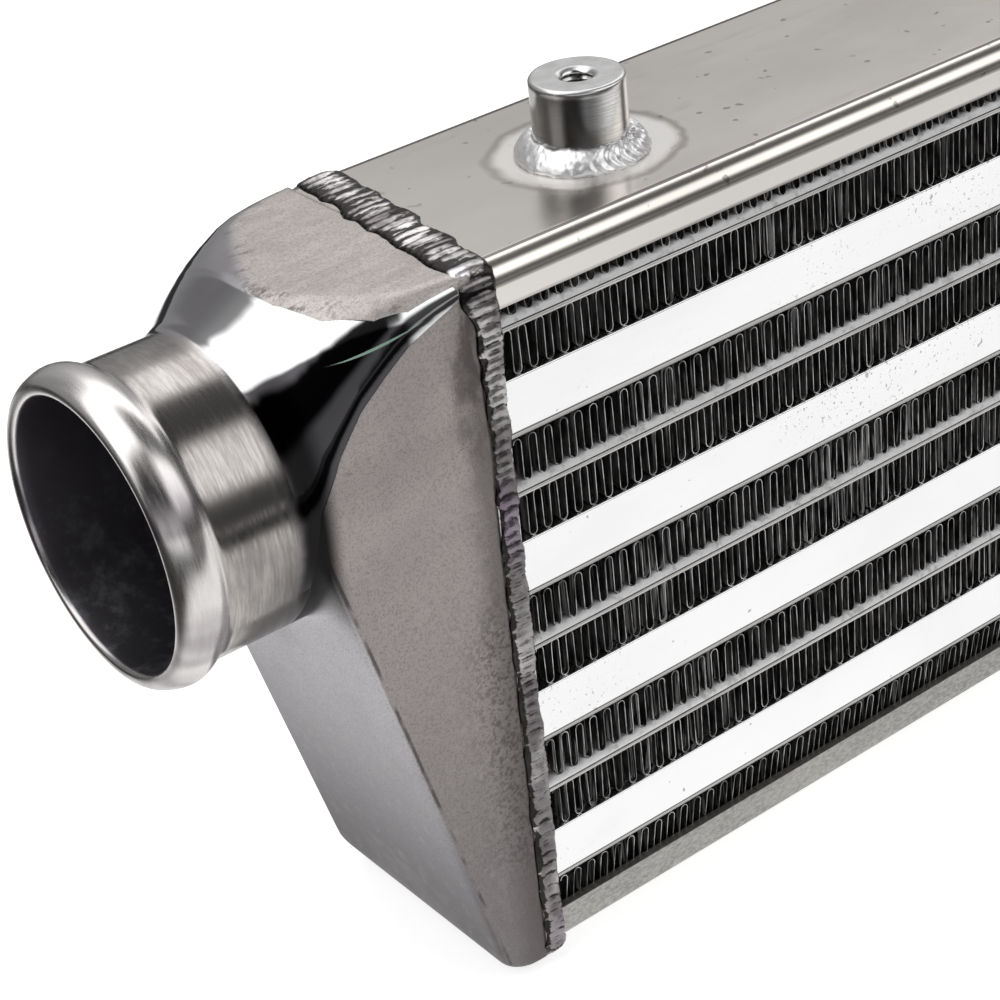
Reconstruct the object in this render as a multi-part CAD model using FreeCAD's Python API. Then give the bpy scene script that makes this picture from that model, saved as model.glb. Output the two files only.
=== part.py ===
# Tube and fin air cooler for a turbocharged engine, with welded cast end tanks.
# Millimetres. +X runs along the core to the outlet tank, -Y faces the front, +Z is up.
# The origin is on the ground below the middle of the core.
import FreeCAD, Part
import math
import os

V = FreeCAD.Vector

# Depth of a full round-over across the diagonal, for a radius of 1
CORNER = math.sqrt(2) - 1

# Core block
core_length = 467.0
core_depth = 65.0
tube_rows = 4
tube_height = 13.9
tube_wall = 1.3
tube_corner = 1.8
divider_height = 2.5
divider_bevel = 0.7
fin_height = 10.4
fin_pitch = 15.8
fin_sheet = 0.3
fin_recess = 0.8
end_bar_width = 5.0

# Corrugated insert inside each tube
turbulator_pitch = 10.4
turbulator_sheet = 0.4
turbulator_end_gap = 2.0

# Side plates, folded above and extruded below
plate_sheet = 2.0
plate_bend = 5.0
plate_inner_bend = 1.0
top_flange = 9.5
bottom_web = 6.0
bottom_bend = 2.5
bottom_flange = 8.6

# End tanks, measured outward from the joint with the core block
tank_wall = 3.0
tank_drop = 4.8
rim_cut = 2.5
shoulder_radius = 18.0
shoulder_reach = 36.0
crown_radius = 32.0
crown_start = 28.5
crown_cut = 10.0
hollow_corner = 6.0
slope_foot = 9.8
slope_foot_corner = 8.0
slope_rise = 132.6
slope_run = 33.5

# Neck and rolled bead
neck_diameter = 63.5
neck_bore = 58.4
neck_drop = 39.4
neck_end = 73.3
bead_length = 11.3
bead_flank = 2.5
bead_flank_rise = 1.6
bead_brow = 1.6
bead_rise = 2.2
lip_edge = 0.8

# Weld beads
weld_width = 5.0
weld_rise = 1.2
weld_bevel = 0.8
weld_ground_gap = 0.4
weld_corner = 2.0
top_weld_on_plate = 9.8
top_weld_on_tank = 1.8

# Threaded bosses on the top plate, each with its fillet weld
boss_diameter = 20.4
boss_height = 16.8
boss_chamfer = 0.6
boss_inset = 47.0
boss_offset = -3.0
thread_drill = 6.8
thread_depth = 12.0
boss_weld_width = 5.3
boss_weld_height = 4.6
boss_weld_land = 0.6
boss_weld_runs = 24

# Levels, from the ground up
core_bottom = tank_drop
row_period = tube_height + divider_height + 2 * fin_height
core_top = core_bottom + bottom_web + fin_height + tube_rows * row_period + plate_sheet
half_core = core_length / 2
half_depth = core_depth / 2
fin_half_length = half_core - end_bar_width
flange_recess = plate_sheet + plate_inner_bend
neck_root = slope_foot + slope_run
run_per_rise = slope_run / slope_rise
neck_level = core_top - neck_drop
neck_radius = neck_diameter / 2


def box(x0, x1, y0, y1, z0, z1):
    return Part.makeBox(x1 - x0, y1 - y0, z1 - z0, V(x0, y0, z0))


def mirrored(shape):
    return shape.mirror(V(0, 0, 0), V(1, 0, 0))


def rounded_section(half_width, low, high, corner, x, foot=None):
    """Closed outline in the plane at x; foot is the radius of its two lower corners."""
    w = half_width
    r = corner
    f = corner if foot is None else foot
    rm = r * (1 - math.sqrt(0.5))
    fm = f * (1 - math.sqrt(0.5))
    corners = (
        (V(x, w, high - r), V(x, w - rm, high - rm), V(x, w - r, high)),
        (V(x, -w + r, high), V(x, -w + rm, high - rm), V(x, -w, high - r)),
        (V(x, -w, low + f), V(x, -w + fm, low + fm), V(x, -w + f, low)),
        (V(x, w - f, low), V(x, w - fm, low + fm), V(x, w, low + f)),
    )
    edges = []
    for i, (start, middle, end) in enumerate(corners):
        edges.append(Part.Arc(start, middle, end).toShape())
        edges.append(Part.LineSegment(end, corners[(i + 1) % 4][0]).toShape())
    return Part.Wire(edges)


def along_core(wire, length):
    return Part.Face(wire).extrude(V(length, 0, 0))


def row_levels():
    """Bottoms of the tubes, dividers and fin rows, each counted from the top."""
    tubes, dividers, fins = [], [], []
    z = core_top - plate_sheet
    for _ in range(tube_rows):
        fins.append(z - fin_height)
        dividers.append(fins[-1] - divider_height)
        fins.append(dividers[-1] - fin_height)
        tubes.append(fins[-1] - tube_height)
        z = tubes[-1]
    fins.append(z - fin_height)
    return tubes, dividers, fins


def charge_tube(z):
    outer = rounded_section(half_depth, z, z + tube_height, tube_corner, -half_core)
    reach = half_depth - tube_wall
    passage = box(-half_core, half_core, -reach, reach, z + tube_wall, z + tube_height - tube_wall)
    return along_core(outer, core_length).cut(passage)


def wave_sheet(start, end, low, high, pitch, sheet, place):
    """Zigzag sheet between two levels; place turns (run, level) into a point."""
    waves = max(2, round((end - start) / pitch))
    half = (end - start) / (2 * waves)
    slope = math.atan2(high - low, half)
    rise = sheet / math.cos(slope)
    upper, lower = [], []
    for i in range(2 * waves + 1):
        crest = i % 2 == 1
        run = start + i * half
        upper.append(place(run, high if crest else low + rise))
        lower.append(place(run, high - rise if crest else low))
    points = upper + lower[::-1]
    return Part.Face(Part.makePolygon(points + points[:1]))


def air_fin(z, recess):
    front = -half_depth + recess
    face = wave_sheet(-fin_half_length, fin_half_length, z, z + fin_height,
                      fin_pitch, fin_sheet, lambda run, level: V(run, front, level))
    return face.extrude(V(0, core_depth - 2 * recess, 0))


def turbulator(z):
    reach = half_depth - tube_wall - turbulator_end_gap
    x = -half_core + turbulator_end_gap
    face = wave_sheet(-reach, reach, z + tube_wall, z + tube_height - tube_wall,
                      turbulator_pitch, turbulator_sheet, lambda run, level: V(x, run, level))
    return face.extrude(V(core_length - 2 * turbulator_end_gap, 0, 0))


def divider(z):
    """Flat bar with its long edges bevelled."""
    blank = box(-half_core, half_core, -half_depth, half_depth, z, z + divider_height)
    long_edges = [e for e in blank.Edges if e.BoundBox.XLength > core_length / 2]
    return blank.makeChamfer(divider_bevel, long_edges)


def end_bar(z):
    return box(-half_core, -fin_half_length, -half_depth, half_depth, z, z + fin_height)


def top_side_plate():
    """Channel with its flanges down over the first fin row."""
    blank = rounded_section(half_depth, core_top - 4 * top_flange, core_top, plate_bend, -half_core)
    hollow = rounded_section(half_depth - plate_sheet, core_top - 4 * top_flange,
                             core_top - plate_sheet, plate_inner_bend, -half_core)
    channel = along_core(blank, core_length).cut(along_core(hollow, core_length))
    keep = box(-half_core, half_core, -half_depth, half_depth, core_top - top_flange, core_top)
    return channel.common(keep)


def bottom_side_plate():
    """Extruded rail with a thick web and a short lip along each edge."""
    top = core_bottom + bottom_flange
    blank = rounded_section(half_depth, core_bottom, top + 2 * bottom_bend, bottom_bend, -half_core)
    rail = along_core(blank, core_length)
    rail = rail.common(box(-half_core, half_core, -half_depth, half_depth, core_bottom, top))
    reach = half_depth - plate_sheet
    return rail.cut(box(-half_core, half_core, -reach, reach, core_bottom + bottom_web, top))


def tank_block(inset, start):
    """Left tank from the side, square across, pulled in all round by inset."""
    joint = -half_core
    width = half_depth - inset
    foot = -half_core - slope_foot + inset * math.sqrt(1 + run_per_rise ** 2) - run_per_rise * inset
    top = core_top - inset
    outline = [V(joint - start, -width, inset), V(foot, -width, inset),
               V(foot - run_per_rise * (top - inset), -width, top), V(joint - start, -width, top)]
    block = Part.Face(Part.makePolygon(outline + outline[:1])).extrude(V(0, 2 * width, 0))
    heel = [e for e in block.Edges if edge_at(e, outline[1])]
    return block.makeFillet(slope_foot_corner - inset, heel)


def tank_body():
    """Outside of the left tank without its neck."""
    shoulder_end = corner_axis(shoulder_reach, shoulder_radius, shoulder_radius * CORNER)
    body = corner_cut(tank_block(0.0, 0.0), round_blade(shoulder_radius),
                      corner_axis(0.0, shoulder_radius, rim_cut), shoulder_end)
    return corner_cut(body, round_blade(crown_radius), corner_axis(crown_start, crown_radius, crown_cut),
                      V(-half_core - neck_root, 0, neck_level))


def tank_hollow():
    """Inside of the left tank up to its crown: the block less the wall, with flat upper corners."""
    end = -half_core - crown_start
    block = tank_block(tank_wall, -tank_wall).common(
        box(end, tank_wall - half_core, -half_depth, half_depth, 0, core_top))
    return corner_cut(block, flat_blade(), corner_axis(0.0, 0.0, rim_cut + hollow_corner),
                      corner_axis(crown_start, 0.0, crown_cut + hollow_corner))


def corner_axis(reach, radius, cut):
    """Axis point of a round-over that takes cut off the upper front corner, across the diagonal."""
    back = (radius + cut) / math.sqrt(2)
    return V(-half_core - reach, back - half_depth, core_top - back)


def round_blade(radius):
    """Closed outline, in the YZ plane, of what lies outside the upper front quarter of a circle."""
    r = radius
    wide = 2 * core_depth
    turn = Part.Arc(V(0, -r, 0), V(0, -r * math.sqrt(0.5), r * math.sqrt(0.5)), V(0, 0, r))
    rest = Part.makePolygon([V(0, 0, r), V(0, wide, r), V(0, wide, wide),
                             V(0, -wide, wide), V(0, -wide, 0), V(0, -r, 0)])
    return Part.Wire([turn.toShape()] + rest.Edges)


def flat_blade():
    """Closed outline, in the YZ plane, of what lies outside a line across the diagonal."""
    wide = 2 * core_depth
    return Part.makePolygon([V(0, -wide, -wide), V(0, wide, wide), V(0, -wide, wide), V(0, -wide, -wide)])


def corner_cut(body, blade, start, end):
    """Cut both upper long corners with a blade outline that moves along the line from start to end."""
    lean = (end - start) * (2 * core_depth / abs(end.x - start.x))
    tool = Part.Face(blade).extrude(lean * 2)
    tool.translate(start - lean)
    return body.cut(tool).cut(tool.mirror(V(0, 0, 0), V(0, 1, 0)))


def edge_at(edge, point):
    """True for an edge along Y through the point's X and Z."""
    return all(abs(v.X - point.x) + abs(v.Z - point.z) < 1e-6 for v in edge.Vertexes)


def on_neck_axis(shape):
    """Carry a shape turned about +X to the left tank's neck axis, facing outward."""
    shape.rotate(V(0, 0, 0), V(0, 0, 1), 180)
    shape.translate(V(-half_core, 0, neck_level))
    return shape


def neck():
    """Neck with a rolled hose bead, turned about its axis."""
    r = neck_radius
    back = neck_end - bead_length
    front = neck_end - lip_edge
    outline = [V(slope_foot, 0, 0), V(slope_foot, 0, r), V(back, 0, r),
               V(back + bead_flank, 0, r + bead_flank_rise),
               V(back + bead_flank + bead_brow, 0, r + bead_rise),
               V(front - bead_flank - bead_brow, 0, r + bead_rise),
               V(front - bead_flank, 0, r + bead_flank_rise),
               V(front, 0, r + lip_edge), V(neck_end, 0, r), V(neck_end, 0, 0)]
    face = Part.Face(Part.makePolygon(outline + outline[:1]))
    return on_neck_axis(face.revolve(V(0, 0, 0), V(1, 0, 0), 360))


def neck_passage():
    length = neck_end - slope_foot
    return on_neck_axis(Part.makeCylinder(neck_bore / 2, length, V(slope_foot, 0, 0), V(1, 0, 0)))


def end_tank():
    outer = tank_body().fuse(neck())
    return outer.cut(tank_hollow()).cut(neck_passage()).removeSplitter()


def tank_weld():
    """Bead round the end of the core block, widened across its top on to the tank."""
    reach = half_depth + weld_rise
    crown = core_top + weld_rise
    ring = box(-half_core, -half_core + weld_width, -reach, reach, weld_ground_gap, crown)
    ring = ring.makeChamfer(weld_corner, [e for e in ring.Edges if e.BoundBox.XLength > weld_width / 2])
    ring = ring.makeChamfer(weld_bevel, [e for e in ring.Edges if e.BoundBox.XLength < weld_width / 2])
    reach = half_depth - plate_bend
    cap = box(-half_core - top_weld_on_tank, -half_core + top_weld_on_plate, -reach, reach,
              core_top - weld_rise, crown)
    cap = cap.makeChamfer(weld_bevel, [e for e in cap.Edges if e.BoundBox.ZMin > core_top])
    return ring.fuse(cap).cut(core_envelope()).cut(tank_body()).removeSplitter()


def core_envelope():
    """Outer form of the core block without its fins."""
    blank = rounded_section(half_depth, core_bottom, core_top, plate_bend, -half_core, bottom_bend)
    return along_core(blank, core_length)


def boss_centre():
    return V(-fin_half_length + boss_inset, boss_offset, core_top)


def boss():
    """Turned boss with a tapped blind hole."""
    c = boss_centre()
    r = boss_diameter / 2
    body = Part.makeCylinder(r, boss_height, c)
    body = body.makeChamfer(boss_chamfer, [e for e in body.Edges if e.BoundBox.ZMin > c.z])
    mouth = V(c.x, c.y, c.z + boss_height)
    return body.cut(Part.makeCylinder(thread_drill / 2, thread_depth, mouth, V(0, 0, -1)))


def boss_weld():
    """Fillet weld round the foot of the boss, one flat for each run of the torch."""
    r = boss_diameter / 2
    low = run_corners(r + boss_weld_width, 0.0)
    high = run_corners(r + boss_weld_land, boss_weld_height)
    faces = [Part.Face(Part.makePolygon(ring)) for ring in (low, high)]
    for i in range(boss_weld_runs):
        flat = [low[i], low[i + 1], high[i + 1], high[i]]
        faces.append(Part.Face(Part.makePolygon(flat + flat[:1])))
    bead = Part.makeSolid(Part.makeShell(faces))
    return bead.cut(Part.makeCylinder(r, boss_weld_height, boss_centre()))


def run_corners(radius, height):
    """Corners of a closed polygon round the boss, at a height above the top plate."""
    turn = 2 * math.pi / boss_weld_runs
    corners = [boss_centre() + V(radius * math.cos(i * turn), radius * math.sin(i * turn), height)
               for i in range(boss_weld_runs)]
    return corners + corners[:1]


def build():
    tubes, dividers, fins = row_levels()
    nodes = {}
    for i, z in enumerate(tubes, 1):
        nodes["charge_tube_%d" % i] = charge_tube(z)
        nodes["turbulator_%d" % i] = turbulator(z)
    for i, z in enumerate(dividers, 1):
        nodes["divider_%d" % i] = divider(z)
    for i, z in enumerate(fins, 1):
        under_flange = z in (fins[0], fins[-1])
        nodes["air_fin_%d" % i] = air_fin(z, flange_recess if under_flange else fin_recess)
    nodes["top_side_plate"] = top_side_plate()
    nodes["bottom_side_plate"] = bottom_side_plate()
    bars = [end_bar(z) for z in fins]
    for plate, row in (("top_side_plate", 0), ("bottom_side_plate", -1)):
        bars[row] = bars[row].common(core_envelope()).cut(nodes[plate])
    for i, bar in enumerate(bars, 1):
        nodes["end_bar_left_%d" % i] = bar
        nodes["end_bar_right_%d" % i] = mirrored(bar)
    left = {"tank": end_tank(), "tank_weld": tank_weld(), "mount_boss": boss(), "boss_weld": boss_weld()}
    nodes["inlet_tank"] = left["tank"]
    nodes["outlet_tank"] = mirrored(left["tank"])
    for name in ("tank_weld", "mount_boss", "boss_weld"):
        nodes[name + "_left"] = left[name]
        nodes[name + "_right"] = mirrored(left[name])
    return nodes


os.makedirs("parts", exist_ok=True)
for name, shape in build().items():
    shape.exportStep("parts/%s.step" % name)
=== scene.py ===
"""Looks of the intercooler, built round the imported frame. Metres, unless a name ends in _mm."""
import math

import bpy
import numpy as np
from mathutils import Matrix, Vector


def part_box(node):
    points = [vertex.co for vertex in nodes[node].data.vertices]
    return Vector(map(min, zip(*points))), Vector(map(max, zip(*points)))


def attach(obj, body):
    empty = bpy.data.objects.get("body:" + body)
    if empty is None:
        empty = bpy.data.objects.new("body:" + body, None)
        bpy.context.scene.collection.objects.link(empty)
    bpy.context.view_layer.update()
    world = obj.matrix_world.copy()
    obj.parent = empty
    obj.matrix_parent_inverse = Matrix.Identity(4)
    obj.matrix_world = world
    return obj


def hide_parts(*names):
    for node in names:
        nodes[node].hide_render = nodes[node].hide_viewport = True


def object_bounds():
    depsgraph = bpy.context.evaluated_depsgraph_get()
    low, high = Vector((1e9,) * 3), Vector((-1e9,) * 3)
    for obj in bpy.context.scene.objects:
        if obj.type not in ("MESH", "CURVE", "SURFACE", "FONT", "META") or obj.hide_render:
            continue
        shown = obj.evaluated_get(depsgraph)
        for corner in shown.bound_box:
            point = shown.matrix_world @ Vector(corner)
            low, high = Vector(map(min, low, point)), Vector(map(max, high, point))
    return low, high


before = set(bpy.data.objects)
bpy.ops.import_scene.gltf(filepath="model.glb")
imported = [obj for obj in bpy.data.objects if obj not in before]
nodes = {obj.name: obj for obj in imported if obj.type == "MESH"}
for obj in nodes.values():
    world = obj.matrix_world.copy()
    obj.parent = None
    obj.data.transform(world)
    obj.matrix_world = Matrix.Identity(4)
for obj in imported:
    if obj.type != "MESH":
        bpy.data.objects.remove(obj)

cad_low, cad_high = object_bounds()
MM = 0.001
PI = math.pi

# Sizes shared with the solids, in millimetres
CORE_TOP = 172.0
HALF_CORE = 233.5
HALF_DEPTH = 32.5
FIN_RECESS = 0.8
TUBE_BOTTOM = 21.2
ROW_PERIOD = 37.2
NECK_LEVEL = CORE_TOP - 39.4
NECK_RADIUS = 31.75
BORE_RADIUS = 29.2
SLOPE_FOOT = 9.8
RUN_PER_RISE = 33.5 / 132.6
WALL = 3.0

BOSS_X = HALF_CORE - 5.0 - 47.0
BOSS_Y = -3.0
BOSS_TOP = CORE_TOP + 16.8
# Edges of the flanges of the top and bottom plates
FLANGE_LOW = CORE_TOP - 9.5
FLANGE_HIGH = 4.8 + 8.6

# Where the polish begins, as reach from the joint: by depth below the top, and by distance
# from the front
POLISH_FROM_SIDE = ((0, 2), (4, 3), (9, 16), (13, 22), (18, 28.5), (25, 34), (31, 37.5), (36, 40.6),
                    (44, 42.6), (60, 44), (80, 46))
POLISH_FROM_TOP = ((0, 2), (1.6, 4), (2.0, 14), (4.4, 20.8), (11.2, 28), (21.2, 31.9), (28.5, 33),
                   (37, 30), (46.5, 25), (56.5, 19.5), (60, 15), (62.5, 8), (66, 3))
# Depth below the top at which painted dark reflection starts on the polished hollow, by reach
DARK_BELOW = ((0, 4.4), (15, 4.2), (20.3, 4.0), (25.6, 4.8), (30.9, 6.5), (34.9, 8.2), (37.9, 9.8),
              (40.7, 11.0), (44, 12.4), (60, 14))

rng = np.random.default_rng(11)


# ---------------------------------------------------------------- meshes
def add_piece(name, points_mm, faces, stands_for, materials, smooth=True, face_material=None):
    """Mesh piece from points in millimetres; it rides on the root body."""
    mesh = bpy.data.meshes.new(name)
    mesh.from_pydata((np.asarray(points_mm) * MM).tolist(), [], faces)
    mesh.validate()
    for m in materials:
        mesh.materials.append(m)
    if face_material is not None:
        mesh.polygons.foreach_set("material_index", np.asarray(face_material, np.int32))
    mesh.polygons.foreach_set("use_smooth", np.full(len(mesh.polygons), smooth))
    mesh.update()
    piece = bpy.data.objects.new(name, mesh)
    bpy.context.scene.collection.objects.link(piece)
    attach(piece, "root")
    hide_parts(*stands_for)
    return piece


def set_attribute(piece, name, values):
    """Number at each point of the piece, which its material reads."""
    layer = piece.data.attributes.new(name, "FLOAT", "POINT")
    layer.data.foreach_set("value", np.array(values, np.float32))


def grid_faces(rows, columns, first=0, close_rows=False, close_columns=True, flip=False):
    """Quads between successive rows of a grid of points."""
    faces = []
    for i in range(rows if close_rows else rows - 1):
        a = first + i * columns
        b = first + ((i + 1) % rows) * columns
        for j in range(columns if close_columns else columns - 1):
            k = (j + 1) % columns
            quad = (a + j, a + k, b + k, b + j)
            faces.append(quad[::-1] if flip else quad)
    return faces


def wobble(length, step, amount, generator):
    """Smooth random run of the given length, with a knot every step samples."""
    knots = generator.normal(0, 1, int(length / step) + 3)
    return amount * np.interp(np.arange(length) / step, np.arange(len(knots)), knots)


# ---------------------------------------------------------------- materials
class Nodes:
    """Small helper that wires the nodes of one tree."""

    def __init__(self, tree):
        self.tree = tree

    def node(self, kind, values=(), **settings):
        made = self.tree.nodes.new("ShaderNode" + kind)
        for key, value in settings.items():
            setattr(made, key, value)
        for key, value in dict(values).items():
            self.put(made.inputs[key], value)
        return made

    def put(self, socket, value):
        if isinstance(value, bpy.types.NodeSocket):
            self.tree.links.new(value, socket)
        else:
            socket.default_value = value

    def ramp(self, value, low, high, to_low=0.0, to_high=1.0):
        """Smooth step of value from low to high."""
        made = self.node("MapRange",
                         {"Value": value, "From Min": low, "From Max": high, "To Min": to_low,
                          "To Max": to_high}, interpolation_type="SMOOTHSTEP")
        return made.outputs["Result"]

    def fade(self, value, low, high, top=1.0):
        """Smooth step down from top to nothing."""
        return self.ramp(value, low, high, top, 0.0)

    def math(self, kind, a, b=0.0, c=0.0):
        return self.node("Math", {0: a, 1: b, 2: c}, operation=kind).outputs[0]

    def times(self, product, *factors):
        for factor in factors:
            product = self.math("MULTIPLY", product, factor)
        return product

    def plus(self, a, b):
        return self.math("ADD", a, b)

    def minus(self, a, b):
        return self.math("SUBTRACT", a, b)

    def larger(self, a, b):
        return self.math("MAXIMUM", a, b)

    def size(self, a):
        return self.math("ABSOLUTE", a)

    def distance(self, *parts):
        """Length of the vector with these parts."""
        total = 0.0
        for part in parts:
            total = self.plus(total, self.times(part, part))
        return self.math("SQRT", total)

    def line(self, value, slope, start):
        return self.math("MULTIPLY_ADD", value, slope, start)

    def mix(self, share, a, b):
        """From colour a to colour b by share."""
        a, b = ((*colour, 1) if isinstance(colour, tuple) else colour for colour in (a, b))
        return self.node("Mix", {0: share, 6: a, 7: b}, data_type="RGBA").outputs[2]

    def paint(self, under, mask, share, colour):
        """Colour over what lies under, where the mask says."""
        return self.mix(self.times(mask, share), under, colour)

    def blend(self, share, a, b):
        """From number a to number b by share."""
        return self.node("Mix", {0: share, 2: a, 3: b}, data_type="FLOAT").outputs[0]

    def split(self, vector):
        return self.node("SeparateXYZ", {0: vector}).outputs


class Look(Nodes):
    """One procedural material."""

    def __init__(self, name, metallic=1.0):
        self.material = bpy.data.materials.new(name)
        self.material.use_nodes = True
        super().__init__(self.material.node_tree)
        self.shader = self.tree.nodes["Principled BSDF"]
        self.shader.inputs["Metallic"].default_value = metallic
        self.place = self.node("TexCoord").outputs["Object"]

    def noise(self, scale, stretch=(1, 1, 1), detail=3.0, rough=0.6):
        """Noise in the row frame; scale is features per metre."""
        mapped = self.node("Mapping", {"Vector": self.place, "Scale": stretch}).outputs[0]
        made = self.node("TexNoise",
                         {"Vector": mapped, "Scale": scale, "Detail": detail, "Roughness": rough})
        return made.outputs["Fac"]

    def attribute(self, name):
        return self.node("Attribute", attribute_name=name).outputs["Fac"]

    def xyz(self):
        return tuple(self.split(self.place))

    def bump(self, height, distance_mm, strength=1.0, normal=None):
        values = {"Height": height, "Distance": distance_mm * MM, "Strength": strength}
        if normal is not None:
            values["Normal"] = normal
        return self.node("Bump", values).outputs[0]

    def curve(self, value, points, in_scale, out_scale):
        """Curve of (input, output) points in millimetres; value and result are in metres."""
        share = self.times(value, 1000 / in_scale)
        made = self.node("FloatCurve", {"Value": share})
        line = made.mapping.curves[0].points
        while len(line) < len(points):
            line.new(0.5, 0.5)
        for knot, (x, y) in zip(line, points):
            knot.location = (x / in_scale, y / out_scale)
            knot.handle_type = "VECTOR"
        made.mapping.update()
        return self.times(made.outputs[0], out_scale * MM)

    def near(self, value, centre, half):
        """1 where value is within half of centre, fading to 0 at twice that."""
        gap = self.size(self.minus(value, centre))
        return self.fade(gap, half, half * 2)

    def finish(self, colour, roughness, normal=None):
        self.put(self.shader.inputs["Base Color"], colour)
        self.put(self.shader.inputs["Roughness"], roughness)
        if normal is not None:
            self.put(self.shader.inputs["Normal"], normal)
        return self.material


def tube_metal():
    """Bright rolled tube: specks in patches; painted shade on the rounded lower corner and at its foot.
    """
    look = Look("tube_metal")
    level = look.math("MODULO", look.minus(look.xyz()[2], TUBE_BOTTOM * MM), ROW_PERIOD * MM)
    lines = look.noise(900, (0.04, 1, 1.6), 4)
    cloud = look.noise(30, (0.5, 1, 1), 3)
    patch = look.ramp(look.noise(24, (0.6, 1, 1), 2), 0.5, 0.66)
    speck = look.ramp(look.noise(1100, detail=1), 0.66, 0.70)
    speck = look.times(speck, patch)
    rare = look.ramp(look.noise(380, detail=1), 0.76, 0.78)
    tone = look.mix(look.ramp(cloud, 0.35, 0.7), (1.0, 1.0, 1.0), (0.95, 0.95, 0.95))
    tone = look.paint(tone, look.larger(speck, rare), 0.55, (0.15, 0.14, 0.14))
    # Painted shade: grey on the rounded lower corner, a dark line above it and one at the foot
    level = look.line(look.minus(cloud, 0.5), 0.0004, level)
    below = look.fade(level, 0.0016, 0.0018)
    tone = look.paint(tone, below, 0.8, (0.50, 0.49, 0.475))
    edge = look.near(level, 0.00195, 0.00014)
    tone = look.paint(tone, edge, 0.9, (0.05, 0.048, 0.045))
    foot = look.fade(level, 0.0002, 0.0006)
    tone = look.paint(tone, foot, 0.9, (0.05, 0.048, 0.045))
    finish = look.blend(below, look.line(lines, 0.08, 0.18), 0.55)
    return look.finish(tone, finish, look.bump(lines, 0.012, 0.2))


def divider_metal():
    """Light grey face of a divider bar."""
    look = Look("divider_metal")
    grain = look.noise(600, (0.1, 1, 1), 3)
    cloud = look.noise(60, (0.4, 1, 1), 3)
    tone = look.mix(look.ramp(cloud, 0.35, 0.7), (0.74, 0.73, 0.71), (0.56, 0.55, 0.53))
    return look.finish(tone, look.line(grain, 0.15, 0.36), look.bump(grain, 0.02, 0.25))


def braze_metal():
    """Bright filler metal along the top of a divider bar."""
    look = Look("braze_metal")
    grain = look.noise(420, detail=3)
    tone = look.mix(look.ramp(grain, 0.5, 0.75), (1.0, 1.0, 1.0), (0.78, 0.77, 0.76))
    return look.finish(tone, 0.85, look.bump(grain, 0.06, 0.4))


def groove_metal():
    """Painted shade in the groove under the brazed lip of a divider bar."""
    look = Look("groove_metal")
    grain = look.noise(300, (0.3, 1, 1), 2)
    tone = look.mix(grain, (0.03, 0.03, 0.03), (0.12, 0.115, 0.11))
    return look.finish(tone, 0.6)


def fin_wall_metal():
    """Thin sheet in painted shade, darkest in the core, with a painted highlight streak here and there.
    """
    look = Look("fin_wall_metal", 0.35)
    grain = look.noise(600, (1, 0.6, 0.25), 3)
    streak = look.noise(420, (1, 2.4, 0.10), 2)
    run = look.ramp(look.noise(28, (1, 0.2, 1), 1), 0.42, 0.6)
    streak = look.times(look.ramp(streak, 0.55, 0.62), look.line(run, 0.8, 0.2))
    # Painted shade: dark walls, darker still deep in the core; the streaks are painted highlights
    inside = look.ramp(fin_depth(look), 0.0005, 0.0085)
    tone = look.mix(look.ramp(grain, 0.36, 0.72), (0.015, 0.014, 0.014), (0.13, 0.125, 0.12))
    tone = look.mix(streak, tone, (0.92, 0.91, 0.90))
    tone = look.mix(inside, tone, (0.012, 0.011, 0.012))
    return look.finish(tone, 0.4, look.bump(grain, 0.05, 0.3))


def fin_depth(look):
    """Distance behind the nearer face of the core."""
    _, y, _ = look.xyz()
    return look.minus((HALF_DEPTH - FIN_RECESS) * MM, look.size(y))


def fin_edge_metal():
    """Cut edge of the fin sheet, bright on the face, with painted shade on the strips behind it."""
    look = Look("fin_edge_metal")
    grain = look.noise(330, (1, 1, 0.5), 3)
    tone = look.mix(look.ramp(grain, 0.36, 0.66), (0.16, 0.155, 0.15), (0.74, 0.73, 0.72))
    # Painted shade on the strips deeper in the core
    tone = look.mix(look.ramp(fin_depth(look), 0.004, 0.0115), tone, (0.03, 0.029, 0.029))
    return look.finish(tone, 0.45, look.bump(grain, 0.05, 0.3))


def plain_inside_metal():
    """Mill finish of the turbulators inside the tubes."""
    look = Look("inside_metal")
    grain = look.noise(300, detail=3)
    tone = look.mix(grain, (0.25, 0.25, 0.25), (0.45, 0.44, 0.43))
    return look.finish(tone, 0.5, look.bump(grain, 0.05, 0.3))


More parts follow.
